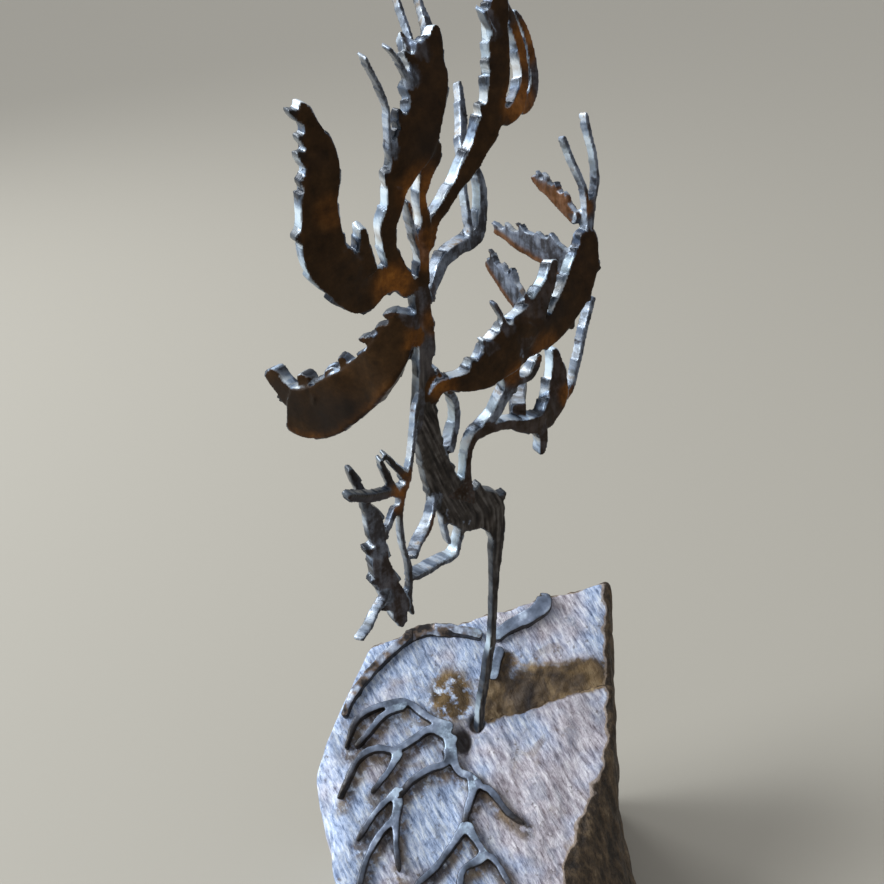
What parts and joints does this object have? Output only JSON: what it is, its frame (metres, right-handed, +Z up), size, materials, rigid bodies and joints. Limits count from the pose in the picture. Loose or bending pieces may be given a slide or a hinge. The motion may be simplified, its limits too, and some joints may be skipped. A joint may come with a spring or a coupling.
{
  "type": "metal tree sculpture",
  "caption": "Small wind-bent tree cut from steel plate, with torch-cut fingered leaves on curved limbs and a gnarled trunk, standing on a natural rock with steel roots laid over it.",
  "frame": {"origin": "middle of the rock's flat underside", "axes": "+Z up along the tree, +X to the right and -Y towards a viewer of the front"},
  "size_m": [0.1574, 0.1546, 0.4357],
  "materials": {
    "rock": "rough natural stone, grey with rust stains",
    "steel": "dark heat-tinted steel under a clear satin lacquer, with bright cut edges"
  },
  "bodies": {
    "root": {"rock": "rock", "tree": "steel", "root_front_spray": "steel", "root_ridge_left": "steel", "root_ridge_right": "steel"}
  },
  "joints": []
}
